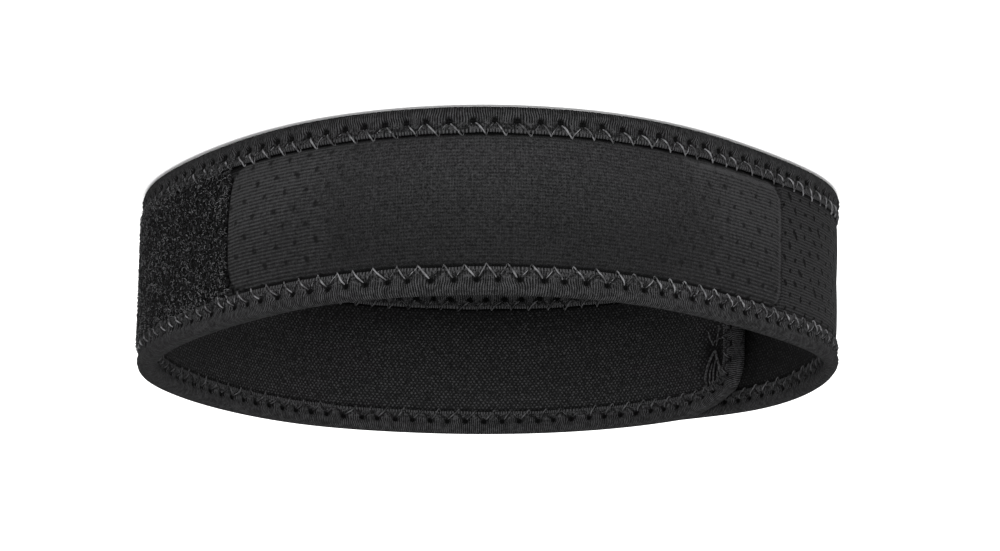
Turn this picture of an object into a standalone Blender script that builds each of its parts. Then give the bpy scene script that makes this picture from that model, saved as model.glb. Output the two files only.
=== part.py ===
"""A patella strap, fastened into a loop and standing on one rim.

One long neoprene strap is wrapped all along its edge by a folded tape. It starts at an inner
end at the back of the loop, runs round one side under a loop-pile facing, carries a padded
panel across the front, comes back round the other side and passes outside its own inner end as
a tab. A hook patch on the tab's inner face grips the loop pile.

The front of the loop faces -Y and the strap stands on z = 0. A place on the strap is given by
its run (the distance from the inner end along the strap), its height, and how far it stands out
of the tape's outer face.
"""
from math import cos, pi, radians, sin

import bmesh
import bpy
import numpy as np
from mathutils import Matrix, Vector

# Strap and loop
STRAP_WIDTH = 0.0333
LOOP_RADIUS = 0.068
OVERLAP = 0.074
INNER_END_ANGLE = radians(233)
END_CORNER = 0.012
SIDE_LEAN = 0.0007
TAB_NARROWING = 0.0013
BACK_LIFT = 0.0032

# Neoprene band
BAND_THICKNESS = 0.0019
BAND_BELOW_TAPE = 0.0003
BAND_UNDER_PAD = 0.0010
BAND_UNDER_FACING = 0.0018
BAND_EDGE = 0.0008
BAND_EDGE_STEP = 0.0008

# Folded edge tape
TAPE_WIDTH = 0.0048
TAPE_THICKNESS = 0.0006
TAPE_ROUNDING = 0.0005

# Loop-pile facing
FACING_THICKNESS = 0.00185
FACING_ABOVE_TAPE = 0.00065
FACING_SHOULDER = 0.0012

# Front pad
PAD_LENGTH = 0.122
PAD_CENTRE_ANGLE = radians(-6.2)
PAD_EDGE = 0.0008
PAD_CORNER = 0.005
PAD_RISE = 0.0019
PAD_SHOULDER = 0.0075

# Hook patch
HOOK_LENGTH = 0.058
HOOK_THICKNESS = 0.0010
HOOK_MARGIN = 0.0015
HOOK_CORNER = 0.003

# Clearances
SEAT_GAP = 0.0003
TAPE_GAP = 0.00025
PAD_END_GAP = 0.0006

# How the two layers part where they overlap
INNER_RAMP = 0.034
OUTER_RAMP = 0.026
LAYER_LEAD = 0.004
INNER_LAYER_SHARE = 0.3
TAB_RAMP = 0.035

# Fineness
STEP = 0.006
SMALLEST_CORNER = 0.0005
CORNER_STEPS = 5
PAD_ROWS = 6

# The loop seen from above: turn from the front towards +X, and radius as a share of the loop's
PLAN = [
    # (place, turn in degrees, radius share)
    ("front", 0, 1.099),
    ("pad, facing side", 30, 1.027),
    ("past the pad", 60, 0.945),
    ("facing side", 90, 0.961),
    ("behind the facing side", 120, 0.979),
    ("back corner", 150, 1.043),
    ("back", 180, 1.078),
    ("back, over the tab", 210, 1.032),
    ("inner end", 240, 0.966),
    ("plain side", 270, 0.978),
    ("before the pad", 300, 0.941),
    ("pad, plain side", 330, 1.013),
]

# Soft folds pressed into the pad, as shares of its length, its height and its rise
PAD_FOLDS = [
    # (along, up, half length along, half width up, depth)
    (0.70, 0.17, 0.17, 0.10, 0.55),
    (0.86, 0.30, 0.08, 0.13, 0.30),
    (0.07, 0.62, 0.05, 0.16, 0.30),
    (0.40, 0.88, 0.22, 0.08, 0.35),
]

# Colours (red, green, blue), roughness
KNIT_BLACK = ((0.022, 0.022, 0.023), 0.88)
TAPE_BLACK = ((0.028, 0.028, 0.029), 0.80)
PILE_BLACK = ((0.018, 0.018, 0.019), 0.95)
PAD_BLACK = ((0.024, 0.024, 0.025), 0.85)
HOOK_BLACK = ((0.015, 0.015, 0.016), 0.60)


def smooth_step(value):
    """0 below 0, 1 above 1, and a soft rise between."""
    t = min(max(value, 0.0), 1.0)
    return t * t * (3 - 2 * t)


# The plan curve

def plan_harmonics():
    """The even waves that pass through every row of the plan table."""
    shares = np.array([row[2] for row in PLAN])
    return np.fft.rfft(shares) / len(shares)


HARMONICS = plan_harmonics()


def plan_point(turn):
    """The tape's outer face, seen from above, at a turn from the front."""
    last = len(PLAN) // 2
    share = HARMONICS[0].real
    for wave in range(1, last):
        share += 2 * (HARMONICS[wave] * np.exp(1j * wave * turn)).real
    share += (HARMONICS[last] * np.exp(1j * last * turn)).real
    radius = LOOP_RADIUS * share
    return Vector((radius * sin(turn), -radius * cos(turn), 0))


def plan_outward(turn):
    """The level direction that points straight out of the plan curve."""
    small = radians(0.5)
    along = plan_point(turn + small) - plan_point(turn - small)
    return Vector((along.y, -along.x, 0)).normalized()


def run_table():
    """Runs from the inner end, with the turn at each, for a little over two rounds."""
    turns = [INNER_END_ANGLE - radians(degree) for degree in range(0, 721)]
    runs = [0.0]
    for before, after in zip(turns, turns[1:]):
        runs.append(runs[-1] + (plan_point(after) - plan_point(before)).length)
    return np.array(runs), np.array(turns)


RUNS, TURNS = run_table()
LOOP_LENGTH = float(RUNS[360])
STRAP_LENGTH = LOOP_LENGTH + OVERLAP


def turn_at(run):
    return float(np.interp(run, RUNS, TURNS))


def run_at(turn):
    return float(np.interp(-turn, -TURNS, RUNS))


PAD_START = run_at(PAD_CENTRE_ANGLE) - PAD_LENGTH / 2
PAD_END = PAD_START + PAD_LENGTH
FACING_END = PAD_START - PAD_END_GAP


# Depths below the tape's outer face

def facing_share(run):
    """1 where the strap is faced with loop pile, 0 where it is plain."""
    return 1 - smooth_step((run - PAD_START) / (0.2 * PAD_LENGTH))


def plain_tape_depth():
    return 2 * (TAPE_THICKNESS + TAPE_GAP) + BAND_EDGE


def faced_tape_depth():
    facing_seat = FACING_THICKNESS - FACING_ABOVE_TAPE + SEAT_GAP
    return facing_seat + BAND_UNDER_FACING + BAND_BELOW_TAPE


def tape_depth(run):
    """From the tape's outer face to its inner one."""
    plain = plain_tape_depth()
    return plain + (faced_tape_depth() - plain) * facing_share(run)


def band_face_depth(run):
    """How deep the band's outer face lies: under the facing, under the pad, or plain."""
    under_facing = FACING_THICKNESS - FACING_ABOVE_TAPE + SEAT_GAP
    under_pad = plain_tape_depth() - BAND_BELOW_TAPE - BAND_UNDER_PAD
    plain = plain_tape_depth() - BAND_BELOW_TAPE - BAND_THICKNESS
    to_pad = smooth_step((run - PAD_START) / PAD_END_GAP + 1)
    to_plain = smooth_step((run - PAD_END - PAD_END_GAP) / BAND_EDGE_STEP)
    depth = under_facing + (under_pad - under_facing) * to_pad
    return depth + (plain - depth) * to_plain


def band_back_depth(run):
    return tape_depth(run) - BAND_BELOW_TAPE


def edge_face_depth(run):
    return TAPE_THICKNESS + TAPE_GAP


def lip_depth(run):
    """Beside the tape the band never stands above a facing's or a pad's seat."""
    return max(edge_face_depth(run), band_face_depth(run))


def edge_back_depth(run):
    return tape_depth(run) - TAPE_THICKNESS - TAPE_GAP


def pad_seat_depth(run):
    return band_face_depth(min(run, PAD_END)) - SEAT_GAP


def layer_spacing():
    """From the inner layer's tape face to the tab's, with facing and hook patch between."""
    tab_back = plain_tape_depth() - BAND_BELOW_TAPE
    return tab_back + SEAT_GAP + HOOK_THICKNESS + SEAT_GAP + FACING_ABOVE_TAPE


def layer_shift(run):
    """The inner layer steps in and the tab steps out of the plan curve where they overlap."""
    inner = 1 - smooth_step((run - OVERLAP - LAYER_LEAD) / INNER_RAMP)
    outer = smooth_step((run - LOOP_LENGTH + LAYER_LEAD + OUTER_RAMP) / OUTER_RAMP)
    step_in = INNER_LAYER_SHARE * layer_spacing()
    step_out = (1 - INNER_LAYER_SHARE) * layer_spacing()
    return outer * step_out - inner * step_in


def narrowed(run, height):
    """The tab grows a little narrower as it passes outside the inner end."""
    share = smooth_step((run - LOOP_LENGTH + LAYER_LEAD) / TAB_RAMP)
    middle = STRAP_WIDTH / 2
    return middle + (height - middle) * (1 - share * TAB_NARROWING / middle)


def back_lift(turn):
    """The strap is cut narrower behind the knee, so its lower rim rises there."""
    return BACK_LIFT * smooth_step((-cos(turn) - 0.15) / 0.65)


def place(run, height, out):
    """A point of the loop, from its place on the strap."""
    turn = turn_at(run)
    level = narrowed(run, height)
    level += back_lift(turn) * (1 - level / STRAP_WIDTH)
    lean = SIDE_LEAN * sin(turn) * (level / STRAP_WIDTH - 0.5)
    point = plan_point(turn) + plan_outward(turn) * (out + layer_shift(run) + lean)
    return Vector((point.x, point.y, level))


# Outlines on the strap

def stations(start, end):
    """Runs from start to end, on one even rhythm that every piece shares."""
    first = int(start / STEP) + 1
    between = [STEP * i for i in range(first, int(end / STEP) + 1)]
    kept = [run for run in between if start + STEP / 4 < run < end - STEP / 4]
    return [start] + kept + [end]


class Outline:
    """A strip of the strap with round corners: its ends, its edges and a radius for each end."""

    def __init__(self, start, end, low, high, corners, breaks=()):
        self.start, self.end = start, end
        self.low, self.high = low, high
        self.corners = corners
        self.breaks = breaks

    def columns(self, inset):
        """(run, low height, high height) from end to end, a distance inside the outline."""
        first, last = (max(corner - inset, SMALLEST_CORNER) for corner in self.corners)
        start, end = self.start + inset, self.end - inset
        low, high = self.low + inset, self.high - inset
        columns = []
        for i in range(CORNER_STEPS):
            angle = pi / 2 * i / CORNER_STEPS
            rise = first * (1 - sin(angle))
            columns.append((start + first * (1 - cos(angle)), low + rise, high - rise))
        outer_start = self.start + self.corners[0]
        outer_end = self.end - self.corners[1]
        steps = sorted(stations(outer_start, outer_end) + list(self.breaks))
        scale = (end - last - start - first) / (outer_end - outer_start)
        for run in steps:
            columns.append((start + first + (run - outer_start) * scale, low, high))
        for i in range(CORNER_STEPS):
            angle = pi / 2 * (i + 1) / CORNER_STEPS
            rise = last * (1 - cos(angle))
            columns.append((end - last + last * sin(angle), low + rise, high - rise))
        return columns

    def loop(self, inset, rows=1):
        """The closed outline: the low edge, up the far end, back along the high edge and down."""
        columns = self.columns(inset)
        shares = [row / rows for row in range(1, rows)]
        there = [(run, low) for run, low, high in columns]
        back = [(run, high) for run, low, high in reversed(columns)]
        run, low, high = columns[-1]
        up = [(run, low + (high - low) * share) for share in shares]
        run, low, high = columns[0]
        down = [(run, low + (high - low) * share) for share in reversed(shares)]
        return there + up + back + down


# Meshes

def add_loop(bm, loop, depth, relief=None):
    """Points of one outline, set in by its depth and lifted by its relief."""
    verts = []
    for run, height in loop:
        lift = relief(run, height) if relief else 0.0
        verts.append(bm.verts.new(place(run, height, lift - depth(run))))
    return verts


def bridge(bm, first, second):
    """A band of faces between two loops with the same number of points."""
    count = len(first)
    for i in range(count):
        j = (i + 1) % count
        bm.faces.new((first[i], first[j], second[j], second[i]))


def fill_rows(bm, loop_verts, columns, rows, depth, relief=None, flip=False):
    """Close an outline with faces from its low edge to its high one."""
    count = len(columns)
    up = loop_verts[count:count + rows - 1]
    back = loop_verts[count + rows - 1:2 * count + rows - 1]
    down = loop_verts[2 * count + rows - 1:]
    grid = [loop_verts[:count]]
    for row in range(1, rows):
        line = [down[rows - 1 - row]]
        for run, low, high in columns[1:-1]:
            height = low + (high - low) * row / rows
            lift = relief(run, height) if relief else 0.0
            line.append(bm.verts.new(place(run, height, lift - depth(run))))
        grid.append(line + [up[row - 1]])
    grid.append(list(reversed(back)))
    for low_row, high_row in zip(grid, grid[1:]):
        for i in range(count - 1):
            face = (low_row[i], low_row[i + 1], high_row[i + 1], high_row[i])
            bm.faces.new(tuple(reversed(face)) if flip else face)


def sheet(name, outline, layers, rows=1, relief=None):
    """A closed piece from loops that run from its outer face round its edge to its back.

    Each layer is (inset, depth, lifted), and the first and the last are filled.
    """
    bm = bmesh.new()
    loops = []
    for inset, depth, lifted in layers:
        lift = relief if lifted else None
        loops.append(add_loop(bm, outline.loop(inset, rows), depth, lift))
    for first, second in zip(loops, loops[1:]):
        bridge(bm, first, second)
    front_inset, front_depth, _ = layers[0]
    back_inset, back_depth, _ = layers[-1]
    fill_rows(bm, loops[0], outline.columns(front_inset), rows, front_depth, relief)
    fill_rows(bm, loops[-1], outline.columns(back_inset), rows, back_depth, flip=True)
    return finish(name, bm)


def finish(name, bm):
    """Make the mesh an object with its faces pointing out."""
    bmesh.ops.recalc_face_normals(bm, faces=bm.faces)
    if bm.calc_volume(signed=True) < 0:
        bmesh.ops.reverse_faces(bm, faces=bm.faces)
    bmesh.ops.triangulate(bm, faces=bm.faces)
    mesh = bpy.data.meshes.new(name)
    bm.to_mesh(mesh)
    bm.free()
    mesh.shade_smooth()
    mesh.set_sharp_from_angle(angle=radians(40))
    piece = bpy.data.objects.new(name, mesh)
    bpy.context.scene.collection.objects.link(piece)
    return piece


def finish_material(piece, name, look):
    """A plain fabric finish of one colour and roughness."""
    colour, roughness = look
    material = bpy.data.materials.new(name)
    material.use_nodes = True
    shader = material.node_tree.nodes["Principled BSDF"]
    shader.inputs["Base Color"].default_value = (*colour, 1)
    shader.inputs["Roughness"].default_value = roughness
    shader.inputs["Metallic"].default_value = 0.0
    piece.data.materials.append(material)


# The pieces

def strap_outline():
    """The whole strap; its breaks keep the step beside the pad crisp."""
    breaks = (PAD_START - PAD_END_GAP / 2, PAD_END + PAD_END_GAP,
              PAD_END + PAD_END_GAP + BAND_EDGE_STEP)
    return Outline(0, STRAP_LENGTH, 0, STRAP_WIDTH, (END_CORNER, END_CORNER), breaks)


def make_band():
    """The neoprene strip, thinner all along the edge that the tape wraps."""
    hem = TAPE_THICKNESS + TAPE_GAP
    tucked = TAPE_WIDTH - BAND_EDGE_STEP
    edge = TAPE_WIDTH + SEAT_GAP
    body = edge + BAND_EDGE_STEP
    layers = [
        (body, band_face_depth, False),
        (edge, lip_depth, False),
        (tucked, edge_face_depth, False),
        (hem, edge_face_depth, False),
        (hem, edge_back_depth, False),
        (edge, edge_back_depth, False),
        (body, band_back_depth, False),
    ]
    band = sheet("strap_band", strap_outline(), layers)
    finish_material(band, "black_knit", KNIT_BLACK)


def tape_profile(run):
    """(inset, depth) round the folded tape: outer leg, fold, inner leg, and the slot between."""
    depth = tape_depth(run)
    return [
        (TAPE_WIDTH, 0),
        (TAPE_ROUNDING, 0),
        (0, TAPE_ROUNDING),
        (0, depth - TAPE_ROUNDING),
        (TAPE_ROUNDING, depth),
        (TAPE_WIDTH, depth),
        (TAPE_WIDTH, depth - TAPE_THICKNESS),
        (TAPE_THICKNESS, depth - TAPE_THICKNESS),
        (TAPE_THICKNESS, TAPE_THICKNESS),
        (TAPE_WIDTH, TAPE_THICKNESS),
    ]


def make_binding():
    """One tape folded over the strap's edge, round both rims and both ends."""
    outline = strap_outline()
    bm = bmesh.new()
    loops = []
    for corner, (inset, _) in enumerate(tape_profile(0)):
        loops.append(add_loop(bm, outline.loop(inset), lambda run, i=corner: tape_profile(run)[i][1]))
    for i, loop in enumerate(loops):
        bridge(bm, loop, loops[(i + 1) % len(loops)])
    binding = finish("edge_binding", bm)
    finish_material(binding, "black_tape", TAPE_BLACK)


def make_facing():
    """Loop pile between the two tapes, from the inner end to the pad."""
    margin = TAPE_WIDTH + SEAT_GAP
    corners = (END_CORNER - margin, FACING_SHOULDER)
    outline = Outline(margin, FACING_END, margin, STRAP_WIDTH - margin, corners)
    top = -FACING_ABOVE_TAPE
    seat = FACING_THICKNESS - FACING_ABOVE_TAPE
    shoulder = top + 0.3 * FACING_THICKNESS
    layers = [
        (FACING_SHOULDER, lambda run: top, False),
        (0.25 * FACING_SHOULDER, lambda run: shoulder, False),
        (0, lambda run: seat, False),
    ]
    facing = sheet("loop_facing", outline, layers)
    finish_material(facing, "black_pile", PILE_BLACK)


def pad_relief(run, height):
    """The pad's crown with its soft folds, above its thin edge."""
    low = TAPE_WIDTH + SEAT_GAP
    high = STRAP_WIDTH - low
    inside = min(run - PAD_START, PAD_END - run, height - low, high - height)
    crown = 1 - (1 - min(inside / PAD_SHOULDER, 1)) ** 2.5
    along = (run - PAD_START) / PAD_LENGTH
    up = (height - low) / (high - low)
    folds = 0.0
    for at_along, at_up, half_long, half_wide, depth in PAD_FOLDS:
        reach = ((along - at_along) / half_long) ** 2 + ((up - at_up) / half_wide) ** 2
        folds += depth * np.exp(-1.5 * reach)
    return float(PAD_RISE * crown * (1 - folds))


def make_pad():
    """The padded panel: a thin edge at the tape, a crown inside it."""
    margin = TAPE_WIDTH + SEAT_GAP
    outline = Outline(PAD_START, PAD_END, margin, STRAP_WIDTH - margin, (PAD_CORNER, PAD_CORNER))
    layers = [
        (0.6 * PAD_SHOULDER, lambda run: pad_seat_depth(run) - PAD_EDGE, True),
        (0.25 * PAD_SHOULDER, lambda run: pad_seat_depth(run) - PAD_EDGE, True),
        (0.08 * PAD_SHOULDER, lambda run: pad_seat_depth(run) - PAD_EDGE, True),
        (0, lambda run: pad_seat_depth(run) - PAD_EDGE, True),
        (0, pad_seat_depth, False),
    ]
    pad = sheet("front_pad", outline, layers, PAD_ROWS, pad_relief)
    finish_material(pad, "pad_knit", PAD_BLACK)


def make_hook_patch():
    """The hook strip between the tab and the loop pile, on the tab's inner face."""
    margin = TAPE_WIDTH + SEAT_GAP + HOOK_MARGIN
    end = STRAP_LENGTH - margin
    corners = (HOOK_CORNER, HOOK_CORNER)
    outline = Outline(end - HOOK_LENGTH, end, margin, STRAP_WIDTH - margin, corners)
    face = plain_tape_depth() - BAND_BELOW_TAPE + SEAT_GAP
    layers = [
        (0, lambda run: face, False),
        (0, lambda run: face + HOOK_THICKNESS, False),
    ]
    patch = sheet("hook_patch", outline, layers)
    finish_material(patch, "black_hook", HOOK_BLACK)


def centre_on_footprint(pieces):
    """Put the middle of the loop's outline over the origin."""
    points = np.array([tuple(v.co) for piece in pieces for v in piece.data.vertices])
    low, high = points.min(axis=0), points.max(axis=0)
    shift = Matrix.Translation((-(low[0] + high[0]) / 2, -(low[1] + high[1]) / 2, -low[2]))
    for piece in pieces:
        piece.data.transform(shift)


def main():
    for old in list(bpy.data.objects):
        bpy.data.objects.remove(old, do_unlink=True)
    make_band()
    make_binding()
    make_facing()
    make_pad()
    make_hook_patch()
    centre_on_footprint(list(bpy.data.objects))


main()
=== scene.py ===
# %% [markdown]
# A patella strap: a short wide band of black neoprene, closed into a loop and worn under the
# knee. It is faced with loop pile on one side, carries a padded panel at the front, and has one
# folded knit tape sewn all along its edge with zigzag thread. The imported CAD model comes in
# first, as a fixed frame, and every cloth piece here is sewn up round it.

from math import cos, pi, radians, sin

import bpy
import numpy as np
from mathutils import Matrix, Vector


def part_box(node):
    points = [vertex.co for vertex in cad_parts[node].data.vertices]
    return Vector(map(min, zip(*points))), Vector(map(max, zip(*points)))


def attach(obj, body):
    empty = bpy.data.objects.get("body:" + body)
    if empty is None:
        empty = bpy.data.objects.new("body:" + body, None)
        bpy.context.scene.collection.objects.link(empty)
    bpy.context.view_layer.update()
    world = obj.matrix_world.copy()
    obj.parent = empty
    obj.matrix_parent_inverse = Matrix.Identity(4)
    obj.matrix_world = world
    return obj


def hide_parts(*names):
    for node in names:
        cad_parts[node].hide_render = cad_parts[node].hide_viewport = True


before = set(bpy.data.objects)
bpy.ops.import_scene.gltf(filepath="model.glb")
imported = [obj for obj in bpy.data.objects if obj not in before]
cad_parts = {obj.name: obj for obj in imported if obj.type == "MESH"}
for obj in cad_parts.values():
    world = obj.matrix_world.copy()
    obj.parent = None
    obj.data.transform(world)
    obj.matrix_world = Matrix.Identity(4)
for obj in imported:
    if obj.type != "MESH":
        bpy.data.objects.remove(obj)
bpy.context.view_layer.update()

# %% [markdown]
# The strap is easiest to think about flat, as it lies on the cutting table. A place on it is its
# run (how far along, from the inner end), its height across, and how far it stands out of the
# tape's outer face. Each piece is modelled flat in those three numbers and then wrapped round
# the leg. A Curve modifier could bend it too, but the same sums as the CAD model keep every
# piece exactly between its neighbours. The sizes are the CAD model's own, but for the six from
# OUTER_RAMP to PAD_BOW, which follow the photograph: the outer layer steps out over 36 mm and
# not 26 mm, the inner end's tape is pressed thinner and drawn in at its corner, the pad's
# corners are 4 mm and not 5 mm, and its sewn end bulges a little.

# %% Sizes of the strap
STRAP_WIDTH = 0.0333
LOOP_RADIUS = 0.068
OVERLAP = 0.074
INNER_END_ANGLE = radians(233)
END_CORNER = 0.012
SIDE_LEAN = 0.0007
TAB_NARROWING = 0.0013
BACK_LIFT = 0.0032
BAND_THICKNESS = 0.0019
BAND_BELOW_TAPE = 0.0003
BAND_UNDER_PAD = 0.0010
BAND_UNDER_FACING = 0.0018
BAND_EDGE = 0.0008
BAND_EDGE_STEP = 0.0008
TAPE_WIDTH = 0.0048
TAPE_THICKNESS = 0.0006
FACING_THICKNESS = 0.00185
FACING_ABOVE_TAPE = 0.00065
PAD_LENGTH = 0.122
PAD_CENTRE_ANGLE = radians(-6.2)
PAD_EDGE = 0.0008
PAD_RISE = 0.0019
PAD_SHOULDER = 0.0075
HOOK_THICKNESS = 0.0010
SEAT_GAP = 0.0003
TAPE_GAP = 0.00025
PAD_END_GAP = 0.0006
INNER_RAMP = 0.034
LAYER_LEAD = 0.004
INNER_LAYER_SHARE = 0.3
TAB_RAMP = 0.035
OUTER_RAMP = 0.036
END_PRESS = 0.0011
END_PRESS_FADE = 0.012
CORNER_PINCH = 0.0016
PAD_CORNER_SEWN = 0.0040
PAD_BOW = 0.0022
PLAN_SHARES = [1.099, 1.027, 0.945, 0.961, 0.979, 1.043, 1.078, 1.032, 0.966, 0.978, 0.941, 1.013]
PLAIN_DEPTH = 2 * (TAPE_THICKNESS + TAPE_GAP) + BAND_EDGE
FACED_DEPTH = FACING_THICKNESS - FACING_ABOVE_TAPE + SEAT_GAP + BAND_UNDER_FACING + BAND_BELOW_TAPE


# %% [markdown]
# The loop seen from above is one smooth closed curve through twelve radii. Even waves (a
# Fourier series) give it, so it has no corner anywhere. A table of runs and turns then says
# which way the strap faces at each distance along it.

# %% The plan curve and its table
def smooth_step(value):
    """0 below 0, 1 above 1, and a soft rise between."""
    t = np.clip(value, 0.0, 1.0)
    return t * t * (3 - 2 * t)


HARMONICS = np.fft.rfft(PLAN_SHARES) / len(PLAN_SHARES)


def plan_point(turn):
    """Points of the tape's outer face, seen from above, at turns from the front."""
    turn = np.asarray(turn, float)
    last = len(HARMONICS) - 1
    share = np.full(turn.shape, HARMONICS[0].real)
    for wave in range(1, last):
        share += 2 * (HARMONICS[wave] * np.exp(1j * wave * turn)).real
    share += (HARMONICS[last] * np.exp(1j * last * turn)).real
    radius = LOOP_RADIUS * share
    return np.stack([radius * np.sin(turn), -radius * np.cos(turn)], -1)


def plan_outward(turn):
    """The level direction that points straight out of the plan curve."""
    small = radians(0.5)
    along = plan_point(turn + small) - plan_point(turn - small)
    out = np.stack([along[..., 1], -along[..., 0]], -1)
    return out / np.linalg.norm(out, axis=-1, keepdims=True)


TURNS = INNER_END_ANGLE - np.radians(np.arange(721))
steps = np.linalg.norm(np.diff(plan_point(TURNS), axis=0), axis=1)
RUNS = np.concatenate([[0.0], np.cumsum(steps)])
LOOP_LENGTH = float(RUNS[360])
STRAP_LENGTH = LOOP_LENGTH + OVERLAP


def run_at(turn):
    """The first run at which the strap faces a turn."""
    return float(np.interp(-turn, -TURNS, RUNS))


PAD_START = run_at(PAD_CENTRE_ANGLE) - PAD_LENGTH / 2
PAD_END = PAD_START + PAD_LENGTH
FACING_END = PAD_START - PAD_END_GAP
print(f"loop {LOOP_LENGTH:.4f} m, strap {STRAP_LENGTH:.4f} m, pad from {PAD_START:.4f} to {PAD_END:.4f}")


# %% [markdown]
# The strap is not equally thick all along: under the facing it is deeper than where it is
# plain, and where it overlaps itself one layer steps in and the other steps out. These sums
# say so for any run.

# %% Depths and layers along the strap
def tape_depth(run):
    """From the tape's outer face to its inner one."""
    faced = 1 - smooth_step((run - PAD_START) / (0.2 * PAD_LENGTH))
    pressed = 1 - smooth_step((run - 0.002) / END_PRESS_FADE)
    return PLAIN_DEPTH + (FACED_DEPTH - PLAIN_DEPTH) * faced - END_PRESS * pressed


def band_face_depth(run):
    """How deep the band's outer face lies: under the facing, under the pad, or plain."""
    under_facing = FACING_THICKNESS - FACING_ABOVE_TAPE + SEAT_GAP
    under_pad = PLAIN_DEPTH - BAND_BELOW_TAPE - BAND_UNDER_PAD
    plain = PLAIN_DEPTH - BAND_BELOW_TAPE - BAND_THICKNESS
    to_pad = smooth_step((run - PAD_START) / PAD_END_GAP + 1)
    to_plain = smooth_step((run - PAD_END - PAD_END_GAP) / BAND_EDGE_STEP)
    depth = under_facing + (under_pad - under_facing) * to_pad
    return depth + (plain - depth) * to_plain


LAYER_SPACING = PLAIN_DEPTH - BAND_BELOW_TAPE + 2 * SEAT_GAP + HOOK_THICKNESS + FACING_ABOVE_TAPE


def layer_shift(run):
    """The inner layer steps in and the tab steps out where they overlap."""
    inner = 1 - smooth_step((run - OVERLAP - LAYER_LEAD) / INNER_RAMP)
    outer = smooth_step((run - LOOP_LENGTH + LAYER_LEAD + OUTER_RAMP) / OUTER_RAMP)
    return LAYER_SPACING * (outer * (1 - INNER_LAYER_SHARE) - inner * INNER_LAYER_SHARE)


def corner_pinch(run, height):
    """The tape was drawn in where it was sewn round the inner end's corner."""
    along = smooth_step((run - 0.001) / 0.0045) * (1 - smooth_step((run - 0.008) / 0.011))
    return CORNER_PINCH * along * smooth_step((height - 0.0265) / 0.006)


def pad_bow(run, height):
    """The pad's sewn end bulges a little towards the facing at the strap's middle."""
    across = np.clip(1 - ((height - 0.0180) / 0.0128) ** 2, 0, 1)
    return PAD_BOW * across * (1 - smooth_step(abs(run - PAD_START) / 0.016))


def to_loop(run, height, out):
    """Points of the loop, from places on the flat strap."""
    height = height - corner_pinch(run, height)
    run = run - pad_bow(run, height)
    turn = np.interp(run, RUNS, TURNS)
    middle = STRAP_WIDTH / 2
    share = smooth_step((run - LOOP_LENGTH + LAYER_LEAD) / TAB_RAMP)
    level = middle + (height - middle) * (1 - share * TAB_NARROWING / middle)
    lift = BACK_LIFT * smooth_step((-np.cos(turn) - 0.15) / 0.65)
    level = level + lift * (1 - level / STRAP_WIDTH)
    lean = SIDE_LEAN * np.sin(turn) * (level / STRAP_WIDTH - 0.5)
    flat = plan_point(turn) + plan_outward(turn) * (out + layer_shift(run) + lean)[:, None]
    return np.column_stack([flat, level])


# %% [markdown]
# The CAD model was centred on its footprint, so the whole loop was moved a fraction of a
# millimetre. The same move is found here by comparing the edge tape's box in the frame with
# the rim that these sums give.

# %% Find the small centring move
rim_runs = np.linspace(0, STRAP_LENGTH, 4001)
rim = to_loop(rim_runs, np.full(4001, END_CORNER), np.zeros(4001))
tape_low, tape_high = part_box("edge_binding")
CENTRING = [(tape_low[i] + tape_high[i]) / 2 - (rim[:, i].min() + rim[:, i].max()) / 2 for i in (0, 1)]
print("centring", [round(c * 1000, 3) for c in CENTRING], "mm")


def to_frame(run, height, out):
    """Points of the loop, moved as the CAD model was."""
    return to_loop(run, height, out) + np.array([*CENTRING, 0.0])


# %% [markdown]
# A few helpers do what the hand does again and again: clear the selection before a new
# primitive, apply a modifier, and wrap a flat piece round the leg. Wrapping mirrors the piece,
# because run goes to the left seen from outside, so its faces are turned back afterwards. The
# flat places stay with the piece as its UV map, in metres, for the weave to follow.

# %% Helpers for modelling
def clear_selection():
    """Leave edit mode and select nothing, so the next operator acts on the new piece alone."""
    if bpy.context.object and bpy.context.object.mode != "OBJECT":
        bpy.ops.object.mode_set(mode="OBJECT")
    bpy.ops.object.select_all(action="DESELECT")


def points_of(piece):
    """The piece's points as one array."""
    points = np.empty(len(piece.data.vertices) * 3)
    piece.data.vertices.foreach_get("co", points)
    return points.reshape(-1, 3)


def move_points(piece, points):
    """Put every point of the piece where the array says."""
    piece.data.vertices.foreach_set("co", np.ascontiguousarray(points, float).ravel())
    piece.data.update()


def lay_out_uv(piece, across, up):
    """Keep the flat places of the piece's points as its UV map, in metres."""
    corners = np.empty(len(piece.data.loops), np.int32)
    piece.data.loops.foreach_get("vertex_index", corners)
    layers = piece.data.uv_layers
    layer = layers[0] if len(layers) else layers.new(name="flat_cloth")
    layer.name = "flat_cloth"
    layer.data.foreach_set("uv", np.column_stack([across, up])[corners].astype(np.float32).ravel())


def wrap(piece, run, height, out):
    """Wrap a flat piece round the leg and make its faces point out again."""
    move_points(piece, to_frame(run, height, out))
    clear_selection()
    bpy.context.view_layer.objects.active = piece
    piece.select_set(True)
    bpy.ops.object.mode_set(mode="EDIT")
    bpy.ops.mesh.select_all(action="SELECT")
    bpy.ops.mesh.remove_doubles(threshold=0.000004)
    bpy.ops.mesh.normals_make_consistent(inside=False)
    bpy.ops.object.mode_set(mode="OBJECT")
    bpy.ops.object.shade_smooth()
    print(f"{piece.name}: {len(piece.data.polygons)} faces")


def apply_modifiers(piece):
    """Apply every modifier of the piece, in order."""
    clear_selection()
    bpy.context.view_layer.objects.active = piece
    piece.select_set(True)
    for modifier in list(piece.modifiers):
        bpy.ops.object.modifier_apply(modifier=modifier.name)


# %% [markdown]
# Shader sums read best as plain arithmetic. One small class stands for a number that changes
# over the surface, and its operators add Math nodes. A finish holds the node tree and adds
# every other node by one method.

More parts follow.
